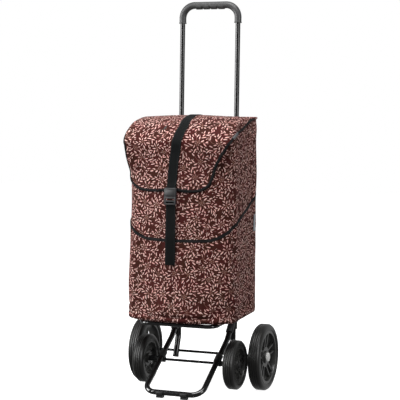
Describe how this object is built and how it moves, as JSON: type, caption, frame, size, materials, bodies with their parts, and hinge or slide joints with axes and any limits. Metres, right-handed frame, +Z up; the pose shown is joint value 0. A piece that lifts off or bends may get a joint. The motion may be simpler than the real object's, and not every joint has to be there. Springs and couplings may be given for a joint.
{
  "type": "shopping trolley",
  "caption": "Wheeled shopping trolley with a soft bag, a buckled flap lid, a telescoping handle and a fold-up bag tray.",
  "frame": {"origin": "on the floor, midway across the wheels and midway along the trolley's depth", "axes": "+Z up, -Y the front, +X to the right when the front faces the viewer"},
  "size_m": [0.426, 0.3605, 1.1746],
  "materials": {
    "frame_paint": "gloss black powder coat",
    "bright_steel": "zinc plated",
    "white_cap": "smooth moulded",
    "tyre_rubber": "matt with grooves",
    "rim_plastic": "fine moulded texture",
    "bush_nylon": "natural nylon",
    "grip_foam": "soft moulded",
    "print_fabric": "woven polyester printed all over with small leaves on fine stems",
    "binding_tape": "ribbed tape",
    "webbing": "flat woven webbing",
    "reflective": "reflective cloth",
    "woven_tag": "plain woven tag with no lettering",
    "board": "ribbed plastic sheet",
    "buckle_plastic": "fine moulded texture",
    "black_plastic": "fine moulded texture"
  },
  "bodies": {
    "frame": {"upright_left": "frame_paint", "upright_right": "frame_paint", "end_plug_left": "black_plastic", "end_plug_right": "black_plastic", "lower_crossbar": "frame_paint", "upper_crossbar": "frame_paint", "collar_left": "black_plastic", "collar_right": "black_plastic", "rear_axle": "bright_steel", "rear_axle_clips": "bright_steel", "rear_hubcap_left": "white_cap", "rear_hubcap_right": "white_cap", "front_loop": "frame_paint", "loop_bracket_left": "black_plastic", "loop_bracket_right": "black_plastic", "bracket_bolts": "bright_steel", "foot_clip_left": "black_plastic", "foot_clip_right": "black_plastic", "front_axle": "bright_steel", "axle_holder_left": "black_plastic", "axle_holder_right": "black_plastic", "front_sleeve_left": "black_plastic", "front_sleeve_right": "black_plastic", "front_hubcap_left": "black_plastic", "front_hubcap_right": "black_plastic", "tray_bracket_left": "frame_paint", "tray_bracket_right": "frame_paint", "tray_pivot_pins": "bright_steel", "bag_shell": "print_fabric", "bag_base_board": "board", "bag_hangers": "webbing", "pocket_panel": "print_fabric", "pocket_binding": "binding_tape", "reflective_patch": "reflective", "strap_lower": "webbing", "buckle_male": "buckle_plastic"},
    "tray": {"tray_loop": "frame_paint"},
    "rear_wheel_left": {"rear_tyre_left": "tyre_rubber", "rear_rim_left": "rim_plastic", "rear_bush_left": "bush_nylon"},
    "rear_wheel_right": {"rear_tyre_right": "tyre_rubber", "rear_rim_right": "rim_plastic", "rear_bush_right": "bush_nylon"},
    "front_wheel_left": {"front_tyre_left": "tyre_rubber", "front_rim_left": "rim_plastic", "front_bush_left": "bush_nylon"},
    "front_wheel_right": {"front_tyre_right": "tyre_rubber", "front_rim_right": "rim_plastic", "front_bush_right": "bush_nylon"},
    "handle": {"handle_tube": "frame_paint", "handle_grip": "grip_foam", "snap_spring_left": "bright_steel", "snap_spring_right": "bright_steel"},
    "flap": {"flap": "print_fabric", "flap_binding": "binding_tape", "flap_tag": "woven_tag", "strap_upper": "webbing", "buckle_female": "buckle_plastic"}
  },
  "joints": [
    {"name": "handle_slide", "type": "slide", "parent": "frame", "child": "handle", "axis": [0, 0, 1], "range_m": [-0.3, 0], "deforming": ["snap_spring_left", "snap_spring_right"]},
    {"name": "rear_left_spin", "type": "hinge", "parent": "frame", "child": "rear_wheel_left", "pos_m": [0, 0.08025, 0.1], "axis": [1, 0, 0], "continuous": true},
    {"name": "rear_right_spin", "type": "hinge", "parent": "frame", "child": "rear_wheel_right", "pos_m": [0, 0.08025, 0.1], "axis": [1, 0, 0], "continuous": true},
    {"name": "front_left_spin", "type": "hinge", "parent": "frame", "child": "front_wheel_left", "pos_m": [0, -0.03075, 0.089], "axis": [1, 0, 0], "continuous": true},
    {"name": "front_right_spin", "type": "hinge", "parent": "frame", "child": "front_wheel_right", "pos_m": [0, -0.03075, 0.089], "axis": [1, 0, 0], "continuous": true},
    {"name": "tray_fold", "type": "hinge", "parent": "frame", "child": "tray", "pos_m": [0, 0.06925, 0.226], "axis": [-1, 0, 0], "range_deg": [0, 90], "deforming": ["bag_shell", "bag_base_board", "pocket_panel", "pocket_binding", "reflective_patch", "strap_lower", "buckle_male"]},
    {"name": "flap_open", "type": "hinge", "parent": "frame", "child": "flap", "pos_m": [0, 0.08275, 0.822], "axis": [-1, 0, 0], "range_deg": [0, 85]}
  ]
}
